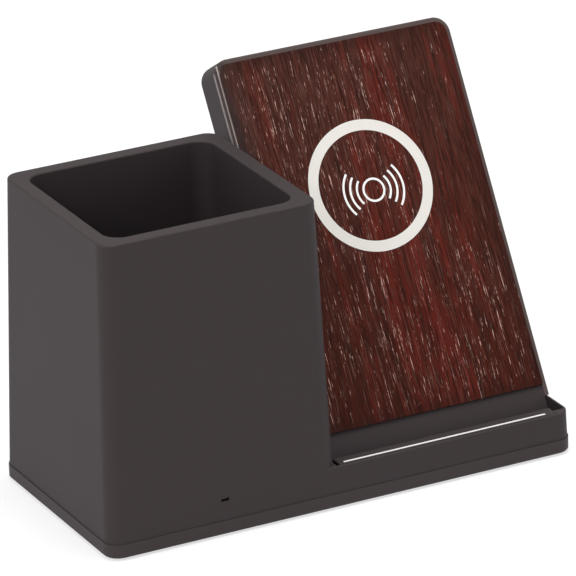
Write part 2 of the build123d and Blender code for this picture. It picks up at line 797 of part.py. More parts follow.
# Charger board with its parts on the side of the panel
with BuildPart() as charger_board:
    board_middle = charger_board_level + charger_board_height / 2
    with BuildSketch(stand_plane.offset(-charger_board_back)):
        with Locations((0, board_middle)):
            Rectangle(charger_board_width, charger_board_height)
        with Locations(charger_spots):
            RegularPolygon(screw_radius + slip, post_sides, mode=Mode.SUBTRACT)
    extrude(amount=charger_board_thickness)
    with BuildSketch(stand_plane.offset(-charger_board_front - slip)):
        with Locations((-chip_size, board_middle), (chip_size, board_middle)):
            Rectangle(chip_size, chip_size)
        with Locations((stand_boss_spacing / 2, charger_board_level + lead_plug_length / 2)):
            Rectangle(lead_plug_width, lead_plug_length)
    extrude(amount=chip_height + slip)
charger_board.part.label = "charger_board"

with BuildPart() as charger_board_screws:
    with BuildSketch(stand_plane.offset(-charger_board_front)):
        with Locations(charger_spots):
            RegularPolygon(screw_head_radius, post_sides)
    extrude(amount=screw_head_height)
    with BuildSketch(stand_plane.offset(-charger_board_front + slip)):
        with Locations(charger_spots):
            RegularPolygon(screw_radius, post_sides)
    extrude(amount=-(board_screw_length + slip))
charger_board_screws.part.label = "charger_board_screws"

# Screws that hold the stand's foot, from under the trough's floor
with BuildPart() as stand_screws:
    with BuildSketch(Plane.XY.offset(floor_under_z - screw_head_height)):
        with Locations([(stand_x + spot, stand_screw_y) for spot in stand_boss_spots]):
            RegularPolygon(screw_head_radius, post_sides)
    extrude(amount=screw_head_height)
    with BuildSketch(Plane.XY.offset(floor_under_z - slip)):
        with Locations([(stand_x + spot, stand_screw_y) for spot in stand_boss_spots]):
            RegularPolygon(screw_radius, post_sides)
    extrude(amount=stand_screw_length + slip)
stand_screws.part.label = "stand_screws"

# Toe strip in the lip's rebate, slotted for the light bar
with BuildPart() as toe_strip:
    with BuildSketch(Plane.XY.offset(floor_z)):
        with Locations(((toe_left_x + toe_right_x) / 2, toe_front_y + toe_depth / 2)):
            Rectangle(toe_length, toe_depth)
    extrude(amount=trough_depth)
    fillet(edges().group_by(Axis.Z)[-1].sort_by(Axis.Y)[-1], lip_edge)
    with BuildSketch(Plane.XY.offset(floor_z - overrun)):
        with Locations((light_bar_x, light_bar_y)):
            Rectangle(light_bar_length + 2 * slip, light_bar_width + 2 * slip)
    extrude(amount=trough_depth + 2 * overrun, mode=Mode.SUBTRACT)
toe_strip.part.label = "toe_strip"

# Milky light bar, from its lights under the floor to the toe's top
with BuildPart() as light_bar:
    with BuildSketch(Plane.XY.offset(floor_under_z)):
        with Locations((light_bar_x, light_bar_y)):
            Rectangle(light_bar_length, light_bar_width)
    extrude(amount=deck_z - floor_under_z)
light_bar.part.label = "light_bar"

with BuildPart() as light_bar_board:
    bar_board_z = floor_under_z - bar_board_drop - bar_board_thickness
    bar_board_y = bar_board_front_y + bar_board_width / 2
    with BuildSketch(Plane.XY.offset(bar_board_z)):
        with Locations((light_bar_x, bar_board_y)):
            Rectangle(light_bar_length, bar_board_width)
    extrude(amount=bar_board_thickness)
light_bar_board.part.label = "light_bar_board"

with BuildPart() as light_bar_lights:
    with BuildSketch(Plane.XY.offset(floor_under_z - bar_board_drop)):
        with Locations((light_bar_x, bar_board_front_y + bar_led_width / 2)):
            with GridLocations(light_bar_length / bar_led_count, bar_led_width, bar_led_count, 1):
                Rectangle(bar_led_length, bar_led_width)
    extrude(amount=bar_led_height)
light_bar_lights.part.label = "light_bar_lights"

# Main board in the base, on the cover's posts
with BuildPart() as main_board:
    with BuildSketch(Plane.XY.offset(board_z)):
        with Locations((cup_x, middle_y)):
            Rectangle(board_width, board_length)
        with Locations(board_hole_spots):
            RegularPolygon(screw_radius + slip, post_sides, mode=Mode.SUBTRACT)
    extrude(amount=board_thickness)
    with BuildSketch(Plane.XY.offset(board_top_z - slip)):
        with Locations((cup_x - chip_size, middle_y)):
            Rectangle(chip_size, chip_size)
    extrude(amount=chip_height + slip)
    with BuildSketch(Plane.XY.offset(board_top_z - slip)):
        with Locations((cup_x - chip_size, middle_y + 2 * inductor_size)):
            RectangleRounded(inductor_size, inductor_size, inductor_size / 4)
    extrude(amount=inductor_height + slip)
    plug_x = cup_x + board_width / 2 - lead_plug_length / 2
    plug_y = middle_y + lead_plug_width
    with BuildSketch(Plane.XY.offset(board_top_z - slip)):
        with Locations((plug_x, plug_y)):
            Rectangle(lead_plug_length, lead_plug_width)
    extrude(amount=lead_plug_height + slip)
main_board.part.label = "main_board"

with BuildPart() as main_board_screws:
    with BuildSketch(Plane.XY.offset(board_top_z)):
        with Locations(board_hole_spots):
            RegularPolygon(screw_head_radius, post_sides)
    extrude(amount=screw_head_height)
    with BuildSketch(Plane.XY.offset(board_top_z + slip)):
        with Locations(board_hole_spots):
            RegularPolygon(screw_radius, post_sides)
    extrude(amount=-(board_screw_length + slip))
main_board_screws.part.label = "main_board_screws"

# Charging socket, a drawn steel shell with its tongue
with BuildPart() as charging_socket:
    socket_mouth_y = back_y - socket_recess
    with BuildSketch(Plane.XZ.offset(-socket_mouth_y)):
        with Locations((cup_x, board_top_z + socket_height / 2)):
            RectangleRounded(socket_width, socket_height, socket_corner)
    extrude(amount=socket_length)
    with BuildSketch(Plane.XZ.offset(-socket_mouth_y - overrun)):
        with Locations((cup_x, board_top_z + socket_height / 2)):
            RectangleRounded(
                socket_width - 2 * socket_wall,
                socket_height - 2 * socket_wall,
                socket_corner - socket_wall,
            )
    extrude(amount=socket_length + overrun - socket_wall, mode=Mode.SUBTRACT)
    with BuildSketch(Plane.XZ.offset(-socket_mouth_y + socket_recess)):
        with Locations((cup_x, board_top_z + socket_height / 2)):
            Rectangle(socket_width - 4 * socket_tongue, socket_tongue)
    extrude(amount=socket_length - socket_recess - socket_wall / 2)
charging_socket.part.label = "charging_socket"

# Status light and the light pipe behind the small window at the front
with BuildPart() as status_light:
    status_led_y = front_y + wall + board_end_gap + status_led_width / 2
    with BuildSketch(Plane.XY.offset(board_top_z)):
        with Locations((cup_x, status_led_y)):
            Rectangle(status_led_length, status_led_width)
    extrude(amount=status_led_height)
status_light.part.label = "status_light"

with BuildPart() as light_pipe:
    window_z = cover_z + status_level
    window_top_z = window_z + status_height / 2
    with BuildSketch(Plane.XZ.offset(-front_y - deck_inset - status_recess)):
        with Locations((cup_x, window_z)):
            Rectangle(status_width, status_height)
    extrude(amount=-(wall + board_end_gap + light_pipe_depth / 2))
    pipe_y = front_y + wall + board_end_gap + light_pipe_depth / 2
    with BuildSketch(Plane.XY.offset(window_top_z)):
        with Locations((cup_x, pipe_y)):
            Rectangle(status_width, light_pipe_depth)
    extrude(amount=-(window_top_z - board_top_z - status_led_height - fit))
light_pipe.part.label = "light_pipe"

# Lead from the main board to the charger board
lead_low_z = (cover_top_z + floor_under_z) / 2
lead_start = (plug_x + lead_plug_length / 2, plug_y, board_top_z + lead_plug_height / 2)
lead_depth = (frame_back + inner_back) / 2
foot_top = stand_plane.origin + stand_plane.z_dir * -lead_depth
lead_rise = charger_board_level - lead_plug_length / 2
lead_end = foot_top + stand_plane.y_dir * lead_rise
lead_points = [
    lead_start,
    (lead_x, plug_y, lead_start[2]),
    (lead_x, stand_screw_y + lead_plug_width, lead_low_z),
    (lead_x, stand_screw_y, lead_low_z),
    (lead_x, stand_screw_y, floor_z + lead_radius),
    (lead_x, lead_end.Y, lead_end.Z),
]
lead_radii = [
    lead_plug_width, lead_plug_width / 2, lead_radius * 3 / 2, lead_radius * 3 / 2
]
with BuildPart() as stand_lead:
    with BuildLine() as lead_path:
        FilletPolyline(*lead_points, radius=lead_radii)
    with BuildSketch(Plane(origin=lead_points[0], z_dir=(1, 0, 0))):
        Circle(lead_radius)
    sweep()
stand_lead.part.label = "stand_lead"

pieces = [
    upper_housing,
    bottom_cover,
    rubber_feet,
    cover_screws,
    stand_shell,
    front_frame,
    panel_core,
    wood_veneer,
    veneer_disc,
    light_ring,
    light_guide,
    ring_board,
    ring_lights,
    charging_coil,
    ferrite_sheet,
    coil_bracket,
    bracket_screws,
    charger_board,
    charger_board_screws,
    stand_screws,
    toe_strip,
    light_bar,
    light_bar_board,
    light_bar_lights,
    main_board,
    main_board_screws,
    charging_socket,
    status_light,
    light_pipe,
    stand_lead,
]
for piece in pieces:
    export_step(piece.part, f"parts/{piece.part.label}.step")
    print(piece.part.label, len(piece.part.solids()), round(piece.part.volume, 1))
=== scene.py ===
# %% [markdown]
# A pen holder with a leaning wireless charging stand
#
# The object is a square pen cup and a low base in one moulding. On the base leans a flat
# stand with a wood-faced panel, a milky ring and a charging sign. A lit strip lies in the
# toe of the base, in front of the trough where a phone stands.
#
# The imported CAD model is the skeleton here. It has every moulding, board and screw at its
# real size, so this lesson mostly gives those bodies their finishes, and it models the two
# things that are too fine for the CAD: the sign and the crosses in the screws' heads.

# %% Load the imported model
from math import cos, pi, radians, sin

import bmesh
import bpy
from mathutils import Euler, Matrix, Vector


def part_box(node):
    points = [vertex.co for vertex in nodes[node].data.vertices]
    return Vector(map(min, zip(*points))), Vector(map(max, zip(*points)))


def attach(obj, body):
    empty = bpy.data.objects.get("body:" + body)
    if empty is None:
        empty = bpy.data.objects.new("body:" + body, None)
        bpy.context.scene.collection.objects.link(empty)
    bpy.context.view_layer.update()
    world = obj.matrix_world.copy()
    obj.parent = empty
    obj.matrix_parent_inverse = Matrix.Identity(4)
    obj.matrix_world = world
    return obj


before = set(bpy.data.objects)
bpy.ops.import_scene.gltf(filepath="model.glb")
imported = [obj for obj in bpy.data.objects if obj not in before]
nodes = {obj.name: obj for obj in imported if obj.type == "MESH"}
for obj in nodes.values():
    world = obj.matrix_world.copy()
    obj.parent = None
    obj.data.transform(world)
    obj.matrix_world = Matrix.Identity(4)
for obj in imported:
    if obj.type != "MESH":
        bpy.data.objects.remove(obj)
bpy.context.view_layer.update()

print("bodies of the model:", len(nodes))

# %% [markdown]
# The camera
#
# The picture was taken with a long lens from the left, a little above the object, so the
# upright edges stay almost parallel. The camera could be placed by hand and turned until
# the picture fits. Here it is set from its bearing, its height over the horizon, its
# distance and a small tilt, as a photographer would note it down, because each of these
# can be corrected without upsetting the others.

# %% Place the camera
camera_bearing = radians(26.746)
camera_elevation = radians(22.245)
camera_tilt = radians(-1.7395)
camera_distance = 1.86344
camera_aim = Vector((0.004432, -0.000032, 0.057582))
sensor_size = 36.0
photo_size = 576
focal_pixels = 5845.33
nearest_seen = 0.1
farthest_seen = 50

looking = Vector((
    sin(camera_bearing) * cos(camera_elevation),
    cos(camera_bearing) * cos(camera_elevation),
    -sin(camera_elevation),
))
lens = bpy.data.cameras.new("camera")
lens.sensor_width = sensor_size
lens.lens = focal_pixels / photo_size * sensor_size
lens.clip_start = nearest_seen
lens.clip_end = farthest_seen
camera = bpy.data.objects.new("camera", lens)
camera.location = camera_aim - looking * camera_distance
turn = looking.to_track_quat("-Z", "Y").to_matrix() @ Matrix.Rotation(camera_tilt, 3, "Z")
camera.rotation_euler = turn.to_euler()
bpy.context.scene.collection.objects.link(camera)
bpy.context.scene.camera = camera
print("lens of", round(lens.lens, 1), "mm at", [round(c, 3) for c in camera.location])

# %% [markdown]
# Shader maths as plain Python
#
# A finish is a small network of shader nodes. Written node by node it is hard to read, so
# a thin wrapper lets an expression such as 1 - mask * 0.3 add its Math nodes by itself.
# All other nodes come from one method that takes the node's type, the values or links of
# its sockets, and its settings.

# %% Wrap a socket so that sums and products work on it
class Wire:
    """A value on its way from one shader node to the next."""

    def __init__(self, network, socket):
        self.network = network
        self.socket = socket

    def math(self, operation, first, second):
        return self.network.node("Math", {0: first, 1: second}, operation=operation)

    def __add__(self, other):
        return self.math("ADD", self, other)

    def __radd__(self, other):
        return self.math("ADD", other, self)

    def __sub__(self, other):
        return self.math("SUBTRACT", self, other)

    def __rsub__(self, other):
        return self.math("SUBTRACT", other, self)

    def __mul__(self, other):
        return self.math("MULTIPLY", self, other)

    def __rmul__(self, other):
        return self.math("MULTIPLY", other, self)


print("made a wire that takes +, - and *")

# %% A network of shader nodes with one method for all of them
class Network:
    """A node tree that grows one node at a time."""

    def __init__(self, tree):
        self.tree = tree

    def node(self, kind, sockets=None, output=0, **settings):
        """Adds a node, sets it, feeds its sockets and returns one of its outputs."""
        made = self.tree.nodes.new("ShaderNode" + kind)
        for name, value in settings.items():
            setattr(made, name, value)
        for name, value in (sockets or {}).items():
            self.feed(made.inputs[name], value)
        return Wire(self, made.outputs[output]) if made.outputs else None

    def feed(self, socket, value):
        """Links a wire to a socket, or sets the socket to a plain value."""
        if isinstance(value, Wire):
            self.tree.links.new(value.socket, socket)
        else:
            socket.default_value = value

    def mix(self, factor, first, second):
        """Blends two colours; a factor of 1 shows the second."""
        first = first if isinstance(first, Wire) else (*first, 1)
        second = second if isinstance(second, Wire) else (*second, 1)
        return self.node("Mix", {0: factor, 6: first, 7: second}, 2, data_type="RGBA")

    def step(self, value, low, high):
        """Rises from 0 to 1 as the value goes from low to high."""
        return self.node(
            "MapRange", {"Value": value, "From Min": low, "From Max": high},
            interpolation_type="SMOOTHSTEP",
        )

    def least(self, first, second):
        """The smaller of two values."""
        return self.node("Math", {0: first, 1: second}, operation="MINIMUM")

    def noise(self, place, scale, detail=2.0, roughness=0.5, seed=0.0):
        """A cloudy value around 0.5; the scale says how often it repeats in a unit."""
        return self.node(
            "TexNoise",
            {"Vector": place, "W": seed, "Scale": scale, "Detail": detail,
             "Roughness": roughness},
            noise_dimensions="4D",
        )

    def stretched(self, place, scale):
        """The same place with each axis scaled by itself, for grain that runs one way."""
        return self.node("Mapping", {"Vector": place, "Scale": scale})

    def axis(self, place, letter):
        """One coordinate of a place."""
        return self.node("SeparateXYZ", {"Vector": place}, letter)


print("made a network that adds, feeds and blends nodes")

# %% A material, its Principled shader and its place in millimetres
millimetres = 1000  # in a metre, which is Blender's unit
bevel_samples = 6


class Finish(Network):
    """One material in the making."""

    def __init__(self, name, constants):
        self.material = bpy.data.materials.new(name)
        self.material.use_nodes = True
        super().__init__(self.material.node_tree)
        self.shader = self.tree.nodes["Principled BSDF"]
        for socket, value in constants.items():
            self.shader.inputs[socket].default_value = value

    def place(self, turn=(0, 0, 0), shift=(0, 0, 0)):
        """Object coordinates in millimetres, turned and then shifted."""
        raw = self.node("TexCoord", output="Object")
        return self.node(
            "Mapping",
            {"Vector": raw, "Scale": (millimetres,) * 3, "Rotation": turn, "Location": shift},
        )

    def softened(self, radius):
        """A normal that rounds the edges; the radius is in millimetres."""
        return self.node("Bevel", {"Radius": radius / millimetres}, samples=bevel_samples)

    def bump(self, height, strength, depth, **below):
        """A normal from a height, on the normal below if given; depth in millimetres."""
        return self.node(
            "Bump",
            {"Height": height, "Strength": strength, "Distance": depth / millimetres, **below},
        )

    def wear(self, **looks):
        """Feeds values that change over the surface and returns the finished material."""
        for name, value in looks.items():
            self.feed(self.shader.inputs[name.replace("_", " ")], value)
        return self.material


print("made a finish that places, rounds, roughens and colours a surface")

# %% Colours as they are seen on a screen
def tone(red, green, blue):
    """A colour of a screen, 0 to 255, as the light values that a shader takes."""
    shares = (red / 255, green / 255, blue / 255)
    return tuple(
        share / 12.92 if share <= 0.04045 else ((share + 0.055) / 1.055) ** 2.4
        for share in shares
    )


def scaled(colour, factor):
    """The same colour made darker or lighter, but never past white."""
    return tuple(min(part * factor, 1.0) for part in colour)


print("a mid grey on the screen is", round(tone(128, 128, 128)[0], 3), "in light")

# %% [markdown]
# The moulded body
#
# Cup, base, stand and frame are one dark, warm grey plastic. Its mould was spark eroded,
# which leaves a very fine, even grain of about a third of a millimetre, and makes the
# surface satin. A picture of such plastic could be wrapped round it, but noise on the
# object's own coordinates needs no unwrapping and keeps its size on every piece. The grain
# is a small bump, and shade and sheen change a little over broad patches, as they do
# where hands have touched the plastic. The edges get a tiny radius through a Bevel node,
# because a mould has no knife edges.
#
# The narrow rim round the panel gets a painted highlight and looks paler than the rest. At
# its left side it is painted darker, between two fine painted highlight lines, one on its
# outer edge and one near its inner edge. These follow the slab's own coordinates: across
# the panel, along it and out of it.

# %% Where the slab lies
lean = radians(31)
ring_low, ring_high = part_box("veneer_disc")
ring_middle = (ring_low + ring_high) / 2
slab_turn = (lean - pi / 2, 0, 0)
slab_shift = -(Euler(slab_turn).to_matrix() @ ring_middle) * millimetres
print("ring middle in millimetres:", [round(part * millimetres, 2) for part in ring_middle])

# %% The rim's painted highlight, painted shade at its left and two painted highlight lines
slab_left = 42.65  # millimetres from the ring's middle, at its height
slab_flare = 0.0035  # how much more for each millimetre further up


def paint_rim_light(made, shade):
    """Paints a highlight on the rim, shade at its left and two highlight lines; edges in
    millimetres.
    """
    place = made.place(slab_turn, slab_shift)
    across, along, out = (made.axis(place, letter) for letter in "XYZ")
    from_left = across + (along * slab_flare + slab_left)
    # painted highlight on the rim's face, with painted shade at its left side
    bright_side = made.step(from_left, 1.8, 6.0)
    painted_rim_light = made.mix(bright_side, tone(70, 60, 59), tone(94, 81, 77))
    # a painted highlight line near the rim's inner edge
    inner_highlight = made.step(from_left, 1.1, 1.3) * (1 - made.step(from_left, 1.65, 1.85))
    painted_rim_light = made.mix(inner_highlight, painted_rim_light, tone(186, 172, 168))
    shade = made.mix(made.step(out, -0.95, -0.6), shade, painted_rim_light)
    # a painted highlight line along the rim's outer front edge
    outer_highlight = (1 - made.step(from_left, 0.1, 0.3)) * made.step(out, -1.5, -1.3)
    return made.mix(outer_highlight, shade, tone(164, 154, 152))


print("the slab's left side lies", slab_left, "mm from the ring's middle")

# %% Finish of the moulded body
satin = {"Specular IOR Level": 0.37, "Specular Tint": (1.0, 0.89, 0.91, 1.0)}


def moulded(name, colour, roughness, painted_rim_light=False):
    """A satin plastic with a fine eroded grain."""
    made = Finish(name, satin)
    place = made.place()
    grain = made.noise(place, 3.2, detail=3.0, roughness=0.62)
    patches = made.noise(place, 0.035, detail=2.0, seed=4.0)
    lighter = scaled(colour, 1.08)
    shade = made.mix(patches, scaled(colour, 0.93), lighter)
    # the slab's rim gets painted highlights and painted shade
    if painted_rim_light:
        shade = paint_rim_light(made, shade)
    specks = made.step(grain, 0.35, 0.7)
    return made.wear(
        Base_Color=made.mix(specks * 0.18, shade, lighter),
        Roughness=roughness + (patches - 0.5) * 0.08 + (grain - 0.5) * 0.12,
        Normal=made.bump(grain, strength=0.22, depth=0.06, Normal=made.softened(0.25)),
    )


body_plastic = moulded("body_plastic", tone(61, 54, 55), 0.6)
cover_plastic = moulded("cover_plastic", tone(67, 60, 61), 0.58)
rim_plastic = moulded("rim_plastic", tone(61, 53, 54), 0.6, painted_rim_light=True)
print("made", body_plastic.name, "and", cover_plastic.name, "and", rim_plastic.name)

# %% [markdown]
# The wood veneer
#
# The panel is faced with an open-pored, dark red-brown veneer under a thin dull lacquer.
# A photo of wood could be laid on it, but a picture has one fixed sharpness, and layers of
# noise stretched along the grain stay sharp at any size. Three things make them read as
# wood: broad stripes from brown to deep red, strongest in the middle, fine dark fibres,
# and many thin pores filled with a pale paste. A slow warp keeps all three from being
# ruler-straight.
#
# The pores gather in columns and break up into dots, and there are few of them at the
# right, above the lower third, and near the border. The wood is a little darker along the
# border and greyer at the left.

# %% Zones of the panel
# Distances are in millimetres, and those of the panel start at the ring's middle.
panel_half_width = 40.9
panel_top = 47.9
panel_bottom = 74.9
border_width = 5.0


def panel_zones(made, place):
    """How far a place belongs to each zone, 0 to 1; all edges are in millimetres."""
    across, along = (made.axis(place, letter) for letter in "XY")
    to_side = panel_half_width - made.node("Math", {0: across}, operation="ABSOLUTE")
    to_end = made.least(panel_top - along, along + panel_bottom)
    return {
        "upper": made.step(along, -80, 50),
        "heart": made.step(across, -14, 4) * (1 - made.step(across, 12, 26)),
        "off_left": made.step(across, -38, -18),
        "border": 1 - made.step(made.least(to_side, to_end), 0.0, border_width),
        # the wood turns greyer towards its left edge
        "greyer_left": 1 - made.step(across, -41, -33),
        "quiet": made.step(across, 14, 30) * made.step(along, -34, -8),
    }


print("panel:", round(2 * panel_half_width, 1), "by", round(panel_top + panel_bottom, 1), "mm")

# %% Layers of the grain
# Each layer has its repeats in a millimetre (across the grain, along it and into the wood),
# its detail and its seed.
grain_layers = {
    "stripes": ((0.24, 0.012, 0.2), 3.0, 7.0),
    "fibres": ((1.6, 0.05, 0.5), 3.0, 1.0),
    "threads": ((2.8, 0.18, 1.0), 2.0, 9.0),
    "lines": ((4.0, 0.11, 1.0), 1.0, 3.0),
    "dashes": ((3.6, 0.42, 1.0), 2.0, 12.0),
    "thin_lines": ((4.6, 0.1, 1.0), 2.0, 15.0),
    "dots": ((2.6, 0.9, 1.0), 1.0, 21.0),
    "columns": ((0.5, 0.02, 0.1), 1.0, 5.0),
    "crowds": ((0.06, 0.025, 0.05), 2.0, 6.0),
}
warp_repeats = (0.05, 0.015, 0.03)
warp_width = 3.0


def wood_grain(made, place):
    """The layers as noises, on a place that sways slowly from side to side."""
    warp = made.noise(made.stretched(place, warp_repeats), 1.0, seed=2.0)
    sway = made.node("CombineXYZ", {"X": (warp - 0.5) * warp_width})
    swayed = made.node("VectorMath", {0: place, 1: sway}, operation="ADD")
    return {
        name: made.noise(made.stretched(swayed, repeats), 1.0, detail=detail, seed=seed)
        for name, (repeats, detail, seed) in grain_layers.items()
    }


print("layers of the grain:", ", ".join(grain_layers))

# %% The stain of the wood
wood_tones = {
    "lower": tone(76, 29, 18),
    "upper": tone(82, 44, 36),
    "red": tone(116, 36, 26),
    "fibre": tone(38, 17, 10),
    "border": tone(30, 20, 18),
    "greyer_left": tone(58, 53, 52),
    "paste": tone(232, 190, 176),
}


def wood_stain(made, zone, layer):
    """The colour of the wood between its pores."""
    stain = made.mix(zone["upper"], wood_tones["lower"], wood_tones["upper"])
    red = made.step(layer["stripes"] + zone["heart"] * 0.12, 0.46, 0.72)
    stain = made.mix(red * (zone["off_left"] * 0.3 + 0.3), stain, wood_tones["red"])
    dark = 1 - made.step(layer["threads"] * 0.5 + layer["fibres"] * 0.5, 0.39, 0.56)
    stain = made.mix(dark * 0.8, stain, wood_tones["fibre"])
    stain = made.mix(zone["border"] * 0.3, stain, wood_tones["border"])
    return made.mix(zone["greyer_left"] * 0.5, stain, wood_tones["greyer_left"])


print("tones of the wood:", len(wood_tones))

# %% The filled pores, and the whole veneer
def wood_pores(made, zone, layer):
    """The relief of the pores and how full of paste they are."""
    relief = layer["lines"] * 0.6 + layer["dashes"] * 0.4
    gathered = (layer["columns"] - 0.5) * 0.15 + (layer["crowds"] - 0.5) * 0.08
    favoured = gathered - zone["quiet"] * 0.05 - zone["border"] * 0.05
    faint = made.step(layer["thin_lines"] + favoured * 0.7, 0.55, 0.68) * 0.22
    broken = made.step(layer["dots"], 0.36, 0.60) * 0.95 + 0.3
    filled = made.step(relief + favoured, 0.572, 0.708) * broken + faint
    return relief, made.step(filled, 0.0, 1.0)


def veneer(name):
    """Red-brown wood with pale pores under a thin dull lacquer."""
    made = Finish(name, {
        "Specular IOR Level": 0.12, "Coat Weight": 0.05, "Coat Roughness": 0.2,
    })
    place = made.place(slab_turn, slab_shift)
    zone = panel_zones(made, place)
    layer = wood_grain(made, place)
    relief, filled = wood_pores(made, zone, layer)
    return made.wear(
        Base_Color=made.mix(filled, wood_stain(made, zone, layer), wood_tones["paste"]),
        Roughness=0.36 + layer["fibres"] * 0.1,
        Normal=made.bump(relief, strength=0.12, depth=0.05),
    )


wood = veneer("wood_veneer")
print("made", wood.name, "with", len(wood.node_tree.nodes), "nodes")

# %% [markdown]
# Clear and milky plastics
#
# The ring, the light bar and the sign are milky: they spread the light of the small lamps
# behind them. Light could really be scattered inside them, which is slow and is lost when
# the model is exported. Instead they are a pale satin surface with the faintest cloudiness
# and a little painted glow, which makes them brighter than the room's light alone. The
# panel's core is clear, and what shows of it is its polished edge, which looks brighter than
# the body because it gathers light from the whole room; that brightness is a painted
# highlight in an opaque pale colour.

# %% Finishes of the milky and clear parts
def milky(name, colour, glow):
    """A pale satin plastic, brightened by a painted glow."""
    made = Finish(name, {"Specular IOR Level": 0.4, "Emission Strength": glow})
    place = made.place()
    cloud = made.noise(place, 0.12, detail=3.0, seed=6.0)
    shade = made.mix(cloud, scaled(colour, 0.94), colour)
    return made.wear(
        Base_Color=shade, Emission_Color=shade, Roughness=0.3 + cloud * 0.12,
        Normal=made.bump(made.noise(place, 1.5), strength=0.05, depth=0.03),
    )


def clear(name, colour):
    """A polished plastic, seen by its gloss."""
    made = Finish(name, {"Specular IOR Level": 0.5, "Coat Weight": 0.4})
    ripple = made.noise(made.place(), 0.4, detail=2.0, seed=8.0)
    return made.wear(
        Base_Color=made.mix(ripple, colour, scaled(colour, 1.2)),
        Roughness=0.1 + ripple * 0.12, Normal=made.softened(0.2),
    )


# the glow of the ring, the bar and the sign is painted light
ring_white = milky("ring_milk", tone(231, 227, 220), glow=0.2)
bar_white = milky("bar_milk", tone(236, 234, 232), glow=0.2)
sign_white = milky("sign_milk", tone(244, 243, 240), glow=0.24)
# the pale colour of the clear edge is a painted highlight
edge_clear = clear("clear_edge", tone(170, 156, 146))
smoked = clear("smoked_pipe", tone(30, 27, 26))
print("made", ", ".join(
    made.name for made in (ring_white, bar_white, sign_white, edge_clear, smoked)
))

# %% [markdown]
# What lies inside and underneath
#
# The feet are black rubber with a dull, slightly dusty face. Boards are green solder mask
# over a glass weave, screws are zinc-plated steel, and the coil is enamelled copper wire.
# None of this shows in the picture, but the part is looked at from all sides and taken
# apart. Each could have its own network, but they differ mostly in colour, gloss and the
# size of their specks, so one finish with these three serves all but the coil. The coil
# gets rings that are counted from its middle.

# %% Finishes of the inner pieces
def speckled(name, colour, roughness, metal=0.0, scale=1.2, spread=0.18):
    """A plain material with fine specks, also in its gloss."""
    made = Finish(name, {"Metallic": metal})
    grain = made.noise(made.place(), scale, detail=4.0, seed=11.0)
    return made.wear(
        Base_Color=made.mix(grain, scaled(colour, 1 - spread), scaled(colour, 1 + spread)),
        Roughness=roughness + (grain - 0.5) * 0.2,
        Normal=made.bump(grain, strength=0.15, depth=0.04),
    )


def wound(name, colour, pitch):
    """Rings of wire round the middle, painted shade between them; the pitch is in millimetres.
    """
    made = Finish(name, {"Metallic": 1.0, "Coat Weight": 0.5})
    place = made.place(slab_turn, slab_shift)
    flat = made.node("VectorMath", {0: place, 1: (1, 1, 0)}, operation="MULTIPLY")
    radius = made.node("VectorMath", {0: flat}, "Value", operation="LENGTH")
    turns = made.node("Math", {0: radius, 1: pitch / 2}, operation="PINGPONG")
    groove_and_shade = made.step(turns, 0.0, pitch / 3)
    return made.wear(
        # the darker grooves between the turns are painted shade; the bump gives their relief
        Base_Color=made.mix(groove_and_shade, scaled(colour, 0.35), colour),
        Roughness=0.42 - groove_and_shade * 0.14,
        Normal=made.bump(groove_and_shade, strength=0.6, depth=0.2),
    )


rubber = speckled("foot_rubber", tone(34, 33, 33), 0.75)
steel = speckled("screw_steel", tone(176, 176, 178), 0.32, metal=1.0, scale=2.5, spread=0.08)
socket_steel = speckled("socket_steel", tone(196, 196, 198), 0.25, metal=1.0, spread=0.06)
board_green = speckled("board_green", tone(22, 84, 52), 0.35, scale=3.0)
lamp_white = speckled("lamp_white", tone(238, 226, 180), 0.4, scale=0.8, spread=0.05)
guide_white = speckled("guide_white", tone(226, 226, 222), 0.35, scale=0.5, spread=0.04)
ferrite = speckled("ferrite_sheet", tone(40, 41, 44), 0.6, scale=4.0)
bracket = speckled("bracket_plastic", tone(52, 52, 54), 0.5, scale=3.0, spread=0.08)
sleeve = speckled("lead_sleeve", tone(28, 28, 29), 0.55, scale=2.0)
# dark colour of the screw crosses: painted shade of the cross recesses
painted_recess_shade = speckled("painted_recess_shade", tone(38, 38, 40), 0.6, scale=2.5)
copper = wound("coil_copper", tone(196, 112, 66), pitch=1.25)
print("made the finishes of the inner pieces")

# %% Give every body of the model its finish
dressed = {
    "upper_housing": body_plastic,
    "bottom_cover": cover_plastic,
    "rubber_feet": rubber,
    "cover_screws": steel,
    "stand_shell": rim_plastic,
    "front_frame": body_plastic,
    "panel_core": edge_clear,
    "wood_veneer": wood,
    "veneer_disc": wood,
    "light_ring": ring_white,
    "light_guide": guide_white,
    "ring_board": board_green,
    "ring_lights": lamp_white,
    "charging_coil": copper,
    "ferrite_sheet": ferrite,
    "coil_bracket": bracket,
    "bracket_screws": steel,
    "charger_board": board_green,
    "charger_board_screws": steel,
    "stand_screws": steel,
    "toe_strip": body_plastic,
    "light_bar": bar_white,
    "light_bar_board": board_green,
    "light_bar_lights": lamp_white,
    "main_board": board_green,
    "main_board_screws": steel,
    "charging_socket": socket_steel,
    "status_light": lamp_white,
    "light_pipe": smoked,
    "stand_lead": sleeve,
}
for node_name, finish in dressed.items():
    body = nodes[node_name]
    body.data.materials.clear()
    body.data.materials.append(finish)

# %% [markdown]
# The charging sign
#
# Inside the ring is the plain sign for wireless charging: a small circle with three arcs
# on each side. On the real panel it is a thin milky inlay, level with the wood. It could
# be part of the veneer's colours, but as a piece of its own it keeps crisp edges. Each
# stroke is the same short cross-section spun round the sign's middle, by a full turn for
# the circle and by part of a turn for an arc, so a spin is the natural tool.

# %% Turn a mesh into a piece of the object
def finished(name, mesh, finish):
    """Takes a bmesh that lies in the row frame, and links it as a piece on the body."""
    bmesh.ops.recalc_face_normals(mesh, faces=mesh.faces)
    data = bpy.data.meshes.new(name)
    mesh.to_mesh(data)
    mesh.free()
    data.materials.append(finish)
    piece = bpy.data.objects.new(name, data)
    bpy.context.scene.collection.objects.link(piece)
    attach(piece, "root")
    print(name, "has", len(data.polygons), "faces")

